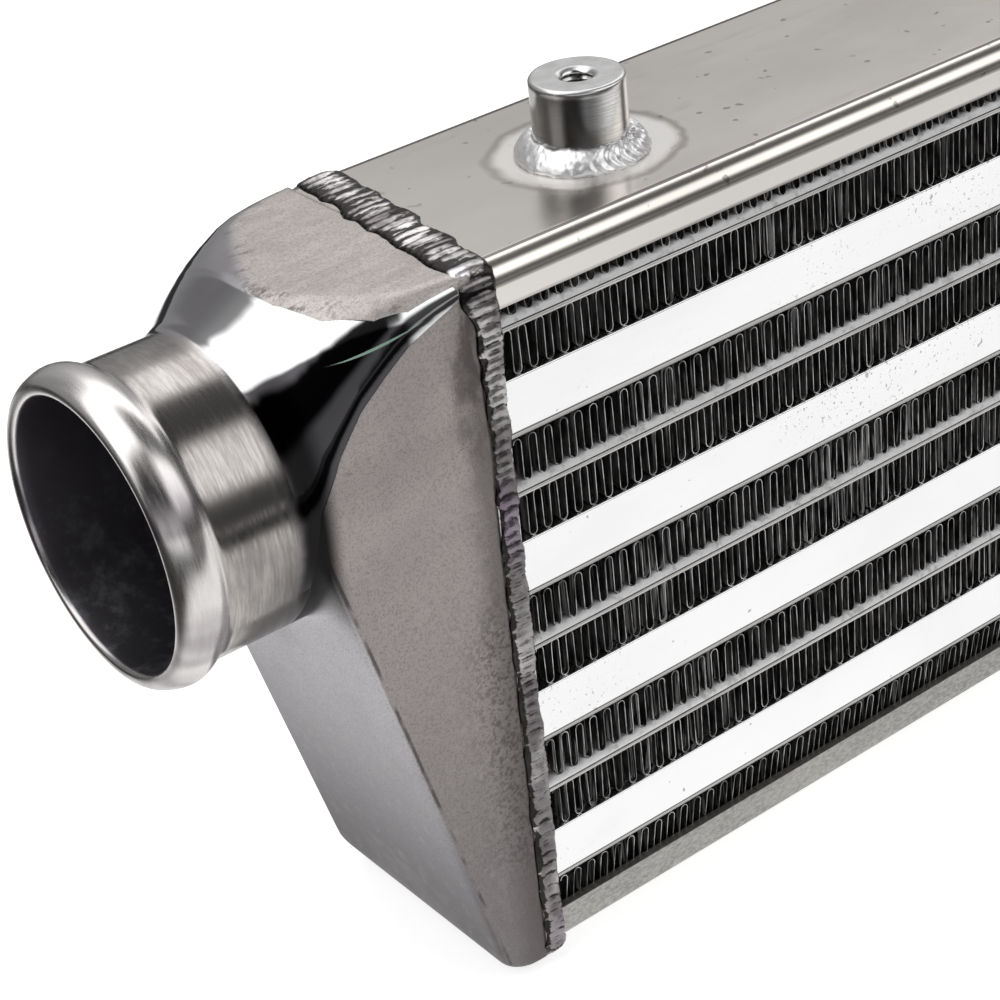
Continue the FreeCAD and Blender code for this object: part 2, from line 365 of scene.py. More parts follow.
def top_plate_metal():
    """Satin folded sheet, with a dark line at each bend and a heat ring round each boss."""
    look = Look("top_plate_metal")
    bend_line, heat_ring = 0.0282, 0.0212
    x, y, z = look.xyz()
    lines = look.noise(1400, (0.03, 1, 1), 4)
    cloud = look.noise(26, (0.6, 1.2, 1), 4)
    scuffs = look.noise(90, (0.25, 1, 1), 5, 0.7)
    speck = look.ramp(look.noise(330, detail=1), 0.72, 0.75)
    tone = look.mix(look.ramp(cloud, 0.3, 0.7), (0.80, 0.755, 0.70), (0.70, 0.66, 0.61))
    tone = look.paint(tone, look.ramp(scuffs, 0.56, 0.74), 0.25, (0.42, 0.39, 0.36))
    tone = look.paint(tone, speck, 0.5, (0.12, 0.11, 0.10))
    on_top = look.ramp(z, (CORE_TOP - 0.6) * MM, (CORE_TOP - 0.2) * MM)
    gap = look.size(look.minus(look.size(y), bend_line))
    gap = look.line(look.minus(scuffs, 0.5), 0.0004, gap)
    fold = look.times(look.fade(gap, 0.0003, 0.00065), on_top)
    flange = look.fade(z, (CORE_TOP - 5.8) * MM, (CORE_TOP - 3.8) * MM)
    tone = look.mix(flange, tone, (0.70, 0.67, 0.645))
    tone = look.paint(tone, fold, 0.85, (0.07, 0.065, 0.06))
    low_edge = look.fade(z, (FLANGE_LOW + 0.1) * MM, (FLANGE_LOW + 0.9) * MM)
    tone = look.paint(tone, low_edge, 0.7, (0.08, 0.075, 0.07))
    far = look.distance(look.minus(look.size(x), BOSS_X * MM),
                        look.times(look.minus(y, BOSS_Y * MM), 1.08))
    far = look.line(look.minus(look.noise(60, detail=3), 0.5), 0.006, far)
    ring = look.size(look.minus(far, heat_ring))
    outline = look.fade(ring, 0.0, 0.0016)
    halo = look.times(look.fade(far, 0.018, 0.0208), on_top)
    tone = look.paint(tone, halo, 0.75, (0.80, 0.79, 0.775))
    tone = look.paint(tone, look.times(outline, on_top), 0.5, (0.22, 0.195, 0.185))
    left_end = look.fade(x, -0.24, -0.16)
    tone = look.paint(tone, left_end, 0.5, (0.90, 0.86, 0.80))
    tone = look.paint(tone, fold, 0.8, (0.10, 0.09, 0.085))
    finish = look.line(halo, 0.18, look.line(lines, 0.05, 0.20))
    return look.finish(tone, finish, look.bump(lines, 0.005, 0.2))


def rough_rail_metal():
    """Extruded rail with a coarse, dull skin."""
    look = Look("rough_rail_metal")
    grain = look.noise(1500, (0.5, 1, 1), 4, 0.7)
    cloud = look.noise(70, (0.4, 1, 1), 3)
    tone = look.mix(look.ramp(grain, 0.3, 0.7), (0.52, 0.505, 0.48), (0.30, 0.29, 0.275))
    tone = look.paint(tone, look.ramp(cloud, 0.4, 0.7), 0.35, (0.62, 0.6, 0.57))
    return look.finish(tone, 0.5, look.bump(grain, 0.12, 0.6))


def end_bar_metal():
    """Rolled bar with faint lines along X, cloudy patches and a few small dark specks."""
    look = Look("end_bar_metal")
    lines = look.noise(900, (0.04, 1, 1.6), 4)
    cloud = look.noise(30, (0.5, 1, 1), 3)
    speck = look.ramp(look.noise(420, detail=1), 0.68, 0.71)
    tone = look.mix(look.ramp(cloud, 0.35, 0.7), (0.7, 0.69, 0.68), (0.5, 0.49, 0.48))
    tone = look.paint(tone, speck, 0.6, (0.12, 0.11, 0.11))
    return look.finish(tone, look.line(lines, 0.12, 0.3), look.bump(lines, 0.02, 0.25))


def weld_metal(name, clean_and_lit, worn, dark, tint_share, slashes, rough, flank):
    """Weld bead: dark in the troughs and along the toes, partly oxide and partly painted shade. With
    flank at 1 the sides get painted shade, darker towards the bottom, and a faint purple heat tint."""
    look = Look(name, 1.0 if flank else 0.85)
    grain = look.noise(900, detail=4, rough=0.7)
    patch = look.noise(130, detail=3)
    streak = look.noise(430, (0.28, 1.0, 1.0), 3, 0.65)
    level = look.attribute("level")
    tone = look.mix(look.ramp(patch, 0.38, 0.62), clean_and_lit, worn)
    x, y, z = look.xyz()
    aside = look.times(look.ramp(look.size(y), 0.0325, 0.0331), flank)
    # Painted shade on the beads down the sides, darker towards the bottom
    shade = look.times(aside, look.ramp(look.noise(45, (1, 1, 0.6), 2), 0.38, 0.66, 0.85, 0.15))
    low_end = look.times(look.fade(z, 0.012, 0.034, 0.65), flank)
    tone = look.mix(look.larger(shade, low_end), tone, (0.13, 0.118, 0.122))
    tint = look.times(look.ramp(look.noise(30, detail=1), 0.52, 0.64), aside)
    tone = look.paint(tone, tint, tint_share, (0.30, 0.22, 0.32))
    # Painted shade in the troughs, at the edges and on the toes, partly oxide
    trough = look.line(look.minus(grain, 0.5), 0.5, level)
    slash = look.times(look.minus(1.0, look.times(aside, 0.45)), slashes)
    trough = look.line(look.minus(streak, 0.5), slash, trough)
    tone = look.mix(look.fade(trough, dark[0], dark[1], 0.96), tone, (0.018, 0.015, 0.015))
    # Painted highlight where the bead turns the upper corner
    corner = (0.2348, 0.0300, 0.1722)
    away = look.distance(*(look.minus(look.size(a), b) for a, b in zip((x, y, z), corner)))
    drop = look.times(look.fade(away, 0.0014, 0.0026), flank)
    tone = look.mix(drop, tone, (0.95, 0.93, 0.97))
    return look.finish(tone, look.line(grain, 0.2, rough), look.bump(grain, 0.12, 0.5))


def boss_metal():
    """Turned bar stock: fine rings about the boss axis, with painted shade down the threaded hole
    and a painted dark reflection down one side.
    """
    look = Look("boss_metal")
    grain = look.noise(1300, (0.15, 0.15, 3.0), 3)
    tone = look.mix(look.ramp(grain, 0.3, 0.7), (0.78, 0.775, 0.765), (0.62, 0.61, 0.60))
    # Painted shade down the threaded hole, deepest at its bottom and in the thread roots
    painted_hole_shade = look.attribute("level")
    tone = look.mix(look.fade(painted_hole_shade, 0.0, 0.6, 0.95), tone, (0.02, 0.02, 0.02))
    x, y, z = look.xyz()
    # Painted dark reflection down one side of the boss
    along = look.minus(look.size(x), BOSS_X * MM)
    facing = look.times(look.minus(y, BOSS_Y * MM), -0.60)
    facing = look.line(along, 0.78, facing)
    below_top = look.minus(BOSS_TOP * MM, z)
    soot = look.times(look.ramp(facing, 0.0066, 0.0092), look.ramp(below_top, 0.0012, 0.0020))
    tone = look.paint(tone, soot, 0.82, (0.07, 0.07, 0.072))
    flat = look.fade(below_top, 0.0002, 0.0008)
    return look.finish(tone, look.blend(flat, 0.2, 0.34), look.bump(grain, 0.03, 0.4))


def tank_metal():
    """Sand cast skin with a polished hollow round the neck, a brushed neck and a dark inside."""
    look = Look("tank_metal")
    neck_start, bead_start = 0.0435, 0.0622
    x, y, z = look.xyz()
    reach = look.minus(look.size(x), HALF_CORE * MM)
    depth = look.minus(CORE_TOP * MM, z)
    inside = look.attribute("inside")
    # Where the tank is polished, brushed or left as cast
    front_edge = look.curve(depth, POLISH_FROM_SIDE, 80, 60)
    top_edge = look.curve(look.plus(y, 0.033), POLISH_FROM_TOP, 66, 60)
    edge = look.larger(front_edge, top_edge)
    ragged = look.times(look.minus(look.noise(160, detail=3), 0.5), 0.0005)
    beyond = look.plus(look.minus(reach, edge), ragged)
    crisp = look.ramp(beyond, -0.0001, 0.00025)
    polish = look.blend(look.ramp(y, -0.008, 0.002), crisp, look.ramp(beyond, -0.0035, 0.0025))
    wander = look.times(look.minus(look.noise(70, detail=3), 0.5), 0.004)
    brushed = look.ramp(look.plus(reach, wander), neck_start, neck_start + 0.004)
    under = look.ramp(z, 0.098, 0.112)
    polish = look.times(polish, look.minus(1.0, brushed))
    polish = look.times(polish, under)

    # Cast skin with painted shade: darker down the front and on the slope below the neck
    speckle = look.noise(2300, detail=3, rough=0.7)
    mottle = look.noise(260, detail=4, rough=0.65)
    cloud = look.noise(38, detail=3)
    streaks = look.noise(170, (0.5, 1.6, 1.0), 4, 0.7)
    side = look.ramp(look.size(y), 0.0312, 0.0322)
    slope = look.ramp(look.minus(reach, look.line(z, RUN_PER_RISE, SLOPE_FOOT * MM)), -0.0009, -0.0004)
    top_skin = look.mix(look.ramp(streaks, 0.3, 0.7), (0.66, 0.61, 0.58), (0.54, 0.50, 0.475))
    side_skin = look.mix(look.ramp(z, -0.03, 0.15), (0.18, 0.165, 0.165), (0.50, 0.455, 0.44))
    slope_skin = look.mix(look.ramp(z, 0.0, 0.11), (0.12, 0.114, 0.12), (0.68, 0.66, 0.68))
    skin = look.mix(look.ramp(depth, 0.002, 0.012), top_skin, side_skin)
    skin = look.mix(side, look.mix(look.ramp(depth, 0.008, 0.03), top_skin, slope_skin), skin)
    skin = look.mix(slope, skin, slope_skin)
    dark = look.mix(0.5, skin, (0.10, 0.09, 0.09))
    skin = look.mix(look.ramp(speckle, 0.42, 0.75), skin, dark)
    skin = look.paint(skin, look.ramp(mottle, 0.5, 0.75), 0.14, (0.62, 0.585, 0.57))
    skin = look.paint(skin, look.ramp(cloud, 0.48, 0.7), 0.25, (0.30, 0.27, 0.285))
    # Soot beside the weld, pits low on the front, a scratched edge, stains near the joint, and dark
    # blotches just short of the polished edge
    near_weld = look.fade(look.line(mottle, -0.008, reach), -0.003, 0.006, 0.6)
    skin = look.paint(skin, near_weld, side, (0.10, 0.085, 0.08))
    pits = look.times(look.ramp(look.noise(1100, detail=2), 0.47, 0.6),
                      look.fade(reach, 0.001, 0.017, 0.75))
    pits = look.times(pits, look.ramp(z, 0.11, 0.085), look.ramp(z, 0.02, 0.04))
    skin = look.paint(skin, pits, side, (0.10, 0.088, 0.085))
    line = look.minus(reach, look.line(z, RUN_PER_RISE, SLOPE_FOOT * MM - 0.0011))
    line = look.near(look.line(mottle, 0.0003, line), 0.0, 0.00025)
    broken = look.ramp(look.noise(90, detail=2), 0.4, 0.55)
    scratch = look.times(line, side, broken)
    skin = look.paint(skin, scratch, 0.7, (0.05, 0.045, 0.045))
    stain = look.ramp(look.noise(95, (1.0, 1.0, 0.45), 4, 0.7), 0.5, 0.64)
    near_joint = look.times(look.fade(reach, 0.002, 0.014), look.ramp(z, 0.12, 0.15))
    stain_side = look.times(stain, near_joint, side)
    near_edge = look.times(look.ramp(beyond, -0.007, -0.0015), look.fade(depth, 0.001, 0.003))
    blotch = look.times(look.ramp(look.noise(330, (0.6, 1.3, 1.0), 4, 0.7), 0.52, 0.66), near_edge)
    skin = look.paint(skin, look.larger(stain_side, blotch), 0.7, (0.09, 0.075, 0.075))

    # Brushed neck, with a lighter hose bead that the heat has tinted
    rings = look.noise(1500, (1.0, 0.10, 0.10), 4, 0.7)
    patch = look.noise(130, (1, 0.5, 0.5), 4)
    brush = look.mix(look.ramp(rings, 0.3, 0.72), (0.50, 0.475, 0.45), (0.34, 0.315, 0.30))
    brush = look.paint(brush, look.ramp(patch, 0.46, 0.72), 0.6, (0.22, 0.20, 0.20))
    bead = look.ramp(reach, bead_start, bead_start + 0.0012)
    heat = look.times(look.ramp(look.noise(48, (0.1, 1, 1), 2), 0.47, 0.58), look.ramp(z, 0.158, 0.148))
    bead_tone = look.paint((0.93, 0.90, 0.88), heat, 0.7, (0.24, 0.205, 0.235))
    brush = look.paint(brush, bead, 0.75, bead_tone)
    # Polished hollow, with painted dark reflection on its back and below its edge
    bright = look.mix(look.ramp(cloud, 0.3, 0.7), (0.80, 0.80, 0.80), (0.66, 0.665, 0.67))
    bright = look.mix(look.ramp(y, -0.008, 0.003, 0.0, 0.6), bright, (0.34, 0.31, 0.345))
    painted_dark_reflection = look.minus(depth, look.curve(look.larger(reach, 0.0), DARK_BELOW, 60, 20))
    painted_dark_reflection = look.times(look.ramp(painted_dark_reflection, -0.0001, 0.0006), look.ramp(reach, 0.0135, 0.0165))
    painted_dark_reflection = look.times(painted_dark_reflection, look.fade(y, -0.017, -0.012))
    bright = look.paint(bright, painted_dark_reflection, 0.97, (0.05, 0.047, 0.052))
    # Smoky inside
    soot = look.noise(150, detail=6, rough=0.75)
    bore = look.mix(look.ramp(soot, 0.46, 0.7), (0.26, 0.25, 0.27), (0.62, 0.64, 0.69))
    bore = look.mix(look.ramp(z, 0.10, 0.15), bore, (0.50, 0.47, 0.52))
    # Dark band at the root of the neck, and one pale green streak in the hollow
    front_low = look.line(look.minus(z, NECK_LEVEL * MM), 0.588, look.times(y, 0.809))
    root = look.times(look.fade(front_low, -0.004, 0.005), look.ramp(reach, 0.036, 0.0405))
    root = look.times(root, under, look.fade(y, -0.012, -0.004))
    root_end = look.fade(look.plus(reach, wander), neck_start, neck_start + 0.005)
    streak_gap = look.minus(depth, look.line(reach, 0.19, 0.0030))
    taper = look.plus(look.ramp(reach, 0.012, 0.021, 0.00006, 0.00026),
                      look.ramp(reach, 0.023, 0.032, 0.0, -0.0002))
    streak = look.near(look.math("DIVIDE", streak_gap, taper), 0.0, 0.6)
    streak = look.times(streak, look.ramp(reach, 0.011, 0.014), look.fade(reach, 0.028, 0.033),
                        look.fade(y, -0.024, -0.022))
    tone = look.mix(brushed, look.mix(polish, skin, bright), brush)
    tone = look.paint(tone, root, root_end, (0.016, 0.015, 0.016))
    # Painted shade on the underside of the neck
    painted_neck_shade = look.times(look.fade(look.plus(reach, wander), 0.042, 0.064, 0.8), look.fade(z, 0.12, 0.14))
    painted_neck_shade = look.times(painted_neck_shade, brushed, look.fade(y, 0.0, 0.01))
    tone = look.mix(painted_neck_shade, tone, (0.05, 0.045, 0.045))
    # Painted shade on the bottom of the neck
    dull = look.times(look.fade(z, 0.103, 0.117, 0.38), brushed)
    tone = look.mix(dull, tone, (0.09, 0.08, 0.075))
    tone = look.paint(tone, streak, 0.7, (0.60, 0.85, 0.70))
    tone = look.mix(inside, tone, bore)
    matt = look.blend(polish, 0.5, 0.07)
    worn = look.blend(brushed, matt, look.ramp(rings, 0.2, 0.8, 0.12, 0.26))
    worn = look.line(bead, 0.07, worn)
    worn = look.blend(streak, worn, 0.6)
    worn = look.blend(inside, worn, 0.36)
    amount = look.minus(1.0, look.larger(polish, brushed))
    rough = look.times(look.plus(speckle, mottle), amount)
    line = look.times(look.plus(rings, patch), look.times(brushed, 0.12))
    return look.finish(tone, worn, look.bump(look.plus(rough, line), 0.09, 0.5))


# ---------------------------------------------------------------- stage
# Strength of the lamps, and what they lose straight along X, so that end views don't burn out
LAMP_LEVEL = 2.0
END_ON_DROP = 1.1


def studio_world():
    """White for the camera. Other rays meet soft pale and dark bands, which the metal mirrors."""
    world = bpy.data.worlds.new("studio")
    bpy.context.scene.world = world
    world.use_nodes = True
    sky = Nodes(world.node_tree)
    x, y, z = sky.split(sky.node("TexCoord").outputs["Generated"])
    share = sky.math("DIVIDE", sky.math("ARCTAN2", z, y), PI)

    def lamps(stops):
        """Light by angle, from the horizon behind the object, over the top, to the one in front."""
        ramp = sky.node("ValToRGB", {0: share})
        ramp.color_ramp.interpolation = "EASE"
        while len(ramp.color_ramp.elements) < len(stops):
            ramp.color_ramp.elements.new(0.5)
        for element, (angle, level) in zip(ramp.color_ramp.elements, stops):
            element.position = angle / 180
            element.color = (level, level, level * 1.01, 1)
        return ramp.outputs[0]

    right = lamps(((0, 0.16), (26, 0.22), (38, 0.34), (48, 0.86), (70, 0.88), (81, 0.05), (110, 0.035),
                   (125, 0.74), (150, 0.76), (163, 0.04), (180, 0.03)))
    left = lamps(((0, 0.12), (34, 0.13), (47, 0.16), (56, 0.90), (103, 0.90), (112, 0.008), (146, 0.006),
                  (160, 0.38), (180, 0.42)))
    end_on = sky.ramp(sky.size(x), 0.86, 0.95)
    strength = sky.minus(LAMP_LEVEL, sky.times(end_on, END_ON_DROP))
    lamp = sky.node("Background",
                    {"Color": sky.mix(sky.ramp(x, 0.14, -0.06), right, left), "Strength": strength})
    white = sky.node("Background", {"Color": (1, 1, 1, 1), "Strength": 1.0})
    path = sky.node("LightPath")
    shown = sky.node("MixShader", {0: path.outputs["Is Camera Ray"], 1: lamp.outputs[0],
                                             2: white.outputs[0]})
    sky.put(sky.tree.nodes["World Output"].inputs["Surface"], shown.outputs[0])


def pale_floor():
    """Floor that keeps the object's shadow, and shows itself in the metal near the object."""
    mesh = bpy.data.meshes.new("floor")
    half = 1.6
    corners = [(-half, -half, 0), (half, -half, 0), (half, half, 0), (-half, half, 0)]
    mesh.from_pydata(corners, [], [(0, 1, 2, 3)])
    floor = bpy.data.objects.new("floor", mesh)
    floor.location.z = cad_low.z - 0.0002
    bpy.context.scene.collection.objects.link(floor)
    paint = bpy.data.materials.new("floor_paint")
    paint.use_nodes = True
    look = Nodes(paint.node_tree)
    look.tree.nodes.remove(look.tree.nodes["Principled BSDF"])
    pale = look.node("BsdfDiffuse", {"Color": (0.75, 0.75, 0.75, 1)})
    path = look.node("LightPath")
    x, y, _ = look.split(look.node("NewGeometry").outputs["Position"])
    lit = look.times(look.ramp(look.size(y), 0.62, 0.36), look.ramp(x, -0.46, -0.34))
    mirrored = look.larger(path.outputs["Is Glossy Ray"], path.outputs["Is Transmission Ray"])
    level = look.times(look.line(lit, 0.96, 0.04), mirrored)
    level = look.larger(level, look.times(path.outputs["Is Camera Ray"], 0.72))
    glow = look.node("Emission", {"Strength": level})
    both = look.node("AddShader", {0: pale.outputs[0], 1: glow.outputs[0]})
    shown = look.node("MixShader", {0: mirrored, 1: both.outputs[0], 2: glow.outputs[0]})
    look.put(look.tree.nodes["Material Output"].inputs["Surface"], shown.outputs[0])
    mesh.materials.append(paint)


def make_camera():
    """Camera fitted to the photo."""
    data = bpy.data.cameras.new("camera")
    data.lens = 91.87
    data.sensor_width = 36.0
    data.shift_x = -0.0029
    data.shift_y = -0.0032
    data.clip_start = 0.01
    camera = bpy.data.objects.new("camera", data)
    right = Vector((0.7827, -0.6151, -0.0951)).normalized()
    forward = Vector((0.4924, 0.7053, -0.5101)).normalized()
    up = right.cross(forward).normalized()
    right = forward.cross(up).normalized()
    turn = Matrix((right, up, -forward)).transposed()
    camera.matrix_world = Matrix.Translation((-0.483449, -0.392685, 0.382611)) @ turn.to_4x4()
    bpy.context.scene.collection.objects.link(camera)
    bpy.context.scene.camera = camera


# ---------------------------------------------------------------- air fins
FIN_PITCH = 4.0
FIN_SHEET = 0.17
FIN_BEND = 0.98
STRIP = 2.6
STRIP_OFFSETS = (0.0, 1.0, 0.45, 0.0, 1.0, 0.0)
BEHIND_FLANGE = HALF_DEPTH - 2.2


def fin_line(low, high, start, waves, shifts):
    """Centre line of a folded strip with its normals: rounded folds joined by nearly upright walls."""
    turns = np.radians([180, 135, 90, 45, 0])
    xs, zs, nx, nz = [], [], [], []
    for i in range(waves):
        crest = start + i * FIN_PITCH + FIN_PITCH / 4 + shifts[i]
        valley = start + i * FIN_PITCH + 3 * FIN_PITCH / 4 + 0.5 * (shifts[i] + shifts[i + 1])
        for t in turns:
            xs.append(crest + FIN_BEND * math.cos(t))
            zs.append(high - FIN_SHEET / 2 - FIN_BEND + FIN_BEND * math.sin(t))
            nx.append(math.cos(t))
            nz.append(math.sin(t))
        for t in turns:
            xs.append(valley + FIN_BEND * math.cos(t))
            zs.append(low + FIN_SHEET / 2 + FIN_BEND - FIN_BEND * math.sin(t))
            nx.append(-math.cos(t))
            nz.append(math.sin(t))
    return np.array(xs), np.array(zs), np.array(nx), np.array(nz)


def fin_row(index):
    """One row of offset strip fin."""
    node = "air_fin_%d" % index
    low, high = (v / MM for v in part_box(node))
    start, end = low.x, high.x
    waves = int(round((end - start) / FIN_PITCH)) - 1
    start += (end - start - (waves + 0.5) * FIN_PITCH) / 2
    front, back = -HALF_DEPTH + FIN_RECESS, HALF_DEPTH - FIN_RECESS
    cuts = [front, front + STRIP, front + 2 * STRIP, front + 9.0, back - 2 * STRIP, back - STRIP, back]
    slit = 0.12
    # The folds wander a little, over the whole row and in each strip
    shifts = rng.normal(0, 0.12, waves + 1) + 0.25 * np.sin(np.arange(waves + 1) * 0.35 + index)
    points, faces, kinds = [], [], []
    for k, (y0, y1) in enumerate(zip(cuts[:-1], cuts[1:])):
        local = shifts + rng.normal(0, 0.06, waves + 1)
        xs, zs, nx, nz = fin_line(low.z + 0.02, high.z - 0.02, start + STRIP_OFFSETS[k] - 0.5,
                                  waves, local)
        n = len(xs)
        half = FIN_SHEET / 2
        outer = np.stack([xs + nx * half, zs + nz * half], 1)
        inner = np.stack([xs - nx * half, zs - nz * half], 1)
        first = len(points)
        for y in (y0 + (slit if k else 0), y1 - slit):
            for line in (outer, inner):
                where = np.full(n, y)
                kept_back = np.clip(y, -BEHIND_FLANGE, BEHIND_FLANGE)
                if index == 1:
                    where = np.where(line[:, 1] < FLANGE_LOW - 0.4, y, kept_back)
                if index == 9:
                    where = np.where(line[:, 1] > FLANGE_HIGH + 0.4, y, kept_back)
                points.extend(zip(line[:, 0], where, line[:, 1]))
        # Two faces of the sheet and its two cut edges at each step, then the ends of the strip
        a, b, c, d = first, first + n, first + 2 * n, first + 3 * n
        for i in range(n - 1):
            j = i + 1
            faces += [(c + i, c + j, a + j, a + i), (b + j, d + j, d + i, b + i),
                      (a + j, b + j, b + i, a + i), (d + i, d + j, c + j, c + i)]
            kinds += [0, 0, 1, 1]
        e = n - 1
        faces += [(b, d, c, a), (c + e, d + e, b + e, a + e)]
        kinds += [0, 0]
    add_piece("fins_%d" % index, points, faces, [node], [looks["fin_wall"], looks["fin_edge"]],
              smooth=False, face_material=kinds)


# ---------------------------------------------------------------- dividers
def divider_piece(index):
    """Divider bar with a crowned upper lip, scalloped where the folds of the fin are brazed to it."""
    node = "divider_%d" % index
    low, high = (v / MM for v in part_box(node))
    length = high.x - low.x
    steps = int(length / 0.5)
    xs = np.linspace(low.x, high.x, steps)
    wave = 0.5 + 0.5 * np.cos((xs - low.x) / FIN_PITCH * 2 * PI)
    rise = 0.15 + 0.38 * wave ** 2 + wobble(steps, 5, 0.08, rng)
    rise = np.clip(rise, 0.02, 0.75)
    h = high.z - low.z
    outline = []
    front = -HALF_DEPTH
    for i in range(steps):
        r = rise[i]
        side = [(front + 0.3, 0.0), (front + 0.05, 0.2), (front, 0.45), (front, h * 0.42),
                (front + 0.3, h * 0.45), (front + 0.3, h * 0.52), (front, h * 0.56), (front, h * 0.86),
                (front + 0.4, h + r * 0.55), (front + 1.3, h + r), (front + 2.6, h + r * 0.6),
                (front + 3.4, h)]
        back = [(-y, z) for y, z in side[::-1]]
        outline.append([(xs[i], y, low.z + z) for y, z in side + back])
    columns = len(outline[0])
    points = [p for row in outline for p in row]
    faces = grid_faces(steps, columns)
    faces += [tuple(range(columns))[::-1], tuple(range((steps - 1) * columns, steps * columns))]
    kinds = np.zeros(len(faces), int)
    # By the number of faces from the foot: plain, then the groove, then the brazed lip
    place = np.arange(len(faces) - 2) % columns
    from_foot = np.minimum(place, columns - 2 - place)
    kinds[:-2] = np.where(from_foot >= 6, 1, np.where(from_foot >= 3, 2, 0))
    add_piece("divider_bar_%d" % index, points, faces, [node],
              [looks["divider"], looks["braze"], looks["groove"]], face_material=kinds)


# ---------------------------------------------------------------- charge tubes
def rounded_outline(half_y, low, high, radii):
    """Closed outline in (y, z). Radii: front lower, back lower, back upper, front upper."""
    centres = ((-1, low, 180), (1, low, 270), (1, high, 0), (-1, high, 90))
    outline = []
    for (side, level, start), radius in zip(centres, radii):
        cy = side * (half_y - radius)
        cz = level + radius * (1 if level == low else -1)
        for turn in np.radians(np.linspace(start, start + 90, 10)):
            outline.append((cy + radius * math.cos(turn), cz + radius * math.sin(turn)))
    return np.array(outline)


def tube_piece(index):
    """Flat extruded tube: crisp upper corners, rounded lower ones and a hollow inside."""
    node = "charge_tube_%d" % index
    low, high = (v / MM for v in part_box(node))
    wall = 1.3
    outer = rounded_outline(-low.y, low.z, high.z, (1.8, 1.8, 0.35, 0.35))
    inner = rounded_outline(-low.y - wall, low.z + wall, high.z - wall, (0.8, 0.8, 0.5, 0.5))
    points = []
    for x, outline in ((low.x, outer), (high.x, outer), (high.x, inner), (low.x, inner)):
        points.extend((x, y, z) for y, z in outline)
    faces = grid_faces(4, len(outer), close_rows=True, flip=True)
    add_piece("flat_tube_%d" % index, points, faces, [node], [looks["tube"]], smooth=False)


# ---------------------------------------------------------------- end tanks
def smooth_max(a, b, k):
    h = np.clip(0.5 + 0.5 * (a - b) / k, 0, 1)
    return b + (a - b) * h + k * h * (1 - h)


def smooth_min(a, b, k):
    return -smooth_max(-a, -b, k)


# By reach: how far the round-over goes across and down, the drop of its crown, and the
# narrowing of the block
ROUND_ACROSS = ((0, 5, 10, 15, 19.5, 25, 30, 33.3, 60), (2.6, 3.4, 4.4, 6.2, 9.6, 17, 26, 31.5, 31.7))
ROUND_DOWN = ((0, 3, 16, 22, 28.5, 34, 37.5, 40.6, 43.3, 60),
              (3.0, 4.2, 9.2, 13, 18, 25, 31, 36, 39.4, 39.4))
TOP_DROP = ((0, 31.4, 33.4, 36, 40, 43.3, 46.5, 60), (0, 0, 0.5, 2.2, 4.9, 7.2, 12, 30))
NARROWING = ((0, 36, 43.3, 46.5, 60), (0, 0, 0.9, 5, 20))


def tank_distance(u, y, z, inset):
    """Signed measure of the tank's form, negative inside. inset moves every wall inwards."""
    half = HALF_DEPTH - np.interp(u, *NARROWING)
    slope = (u - SLOPE_FOOT - RUN_PER_RISE * z) / math.hypot(1, RUN_PER_RISE) + inset
    heel = 8.0 - inset
    low = inset - z
    base = np.where((slope > -heel) & (low > -heel),
                    np.hypot(np.maximum(slope + heel, 0), np.maximum(low + heel, 0)) - heel,
                    np.maximum(slope, low))
    body = smooth_max(base, np.abs(y) - half + inset, np.interp(z, (0, 9), (6.5, 1.2)))
    across, down, top = (np.interp(u, *pair) for pair in (ROUND_ACROSS, ROUND_DOWN, TOP_DROP))
    ex = (np.abs(y) - (half - across)) / across
    ez = (z - (CORE_TOP - down)) / (down - top)
    corner = (np.hypot(np.maximum(ex, 0), np.maximum(ez, 0)) - 1) * np.minimum(across, down - top)
    return smooth_max(body, np.where((ex > 0) | (ez > 0), corner + inset, -50.0), 0.5)


def tank_radius(u, angles, inset, pipe_radius):
    """Distance from the neck axis to the wall, along each angle, at reach u."""
    low = np.zeros_like(angles)
    high = np.full_like(angles, 150.0)
    for _ in range(34):
        r = (low + high) / 2
        y = r * np.cos(angles)
        z = NECK_LEVEL + r * np.sin(angles)
        pipe = r - pipe_radius
        value = smooth_min(tank_distance(u, y, z, inset), pipe, 3.0 if inset == 0 else 1.0)
        inside = value < 0
        low = np.where(inside, r, low)
        high = np.where(inside, high, r)
    return (low + high) / 2


# Where the close points stand above a lower corner, for a section that reaches the ground
SIDE_RISES = (0.0, 0.4, 0.9, 1.5, 2.2, 3.0, 4.0, 5.5, 7.5, 10.0, 13.0, 18.0, 24.0)


def tank_angles(u, upper, lower, inset):
    """Angles of a section's points, close together up the sides just above the two lower corners."""
    foot = max(0.0, (u - SLOPE_FOOT) / RUN_PER_RISE) + inset
    drop = max(NECK_LEVEL - foot, 4.0)
    rises = np.array(SIDE_RISES) * drop / NECK_LEVEL
    climb = np.arctan2(drop - rises, HALF_DEPTH - inset)
    corner = climb[0]
    over = np.linspace(-climb[-1], PI + climb[-1], upper - 2 * (len(climb) - 1), endpoint=False)
    under = np.linspace(PI + corner, 2 * PI - corner, lower, endpoint=False)
    return np.concatenate([-climb[:-1], over, PI + climb[:0:-1], under])


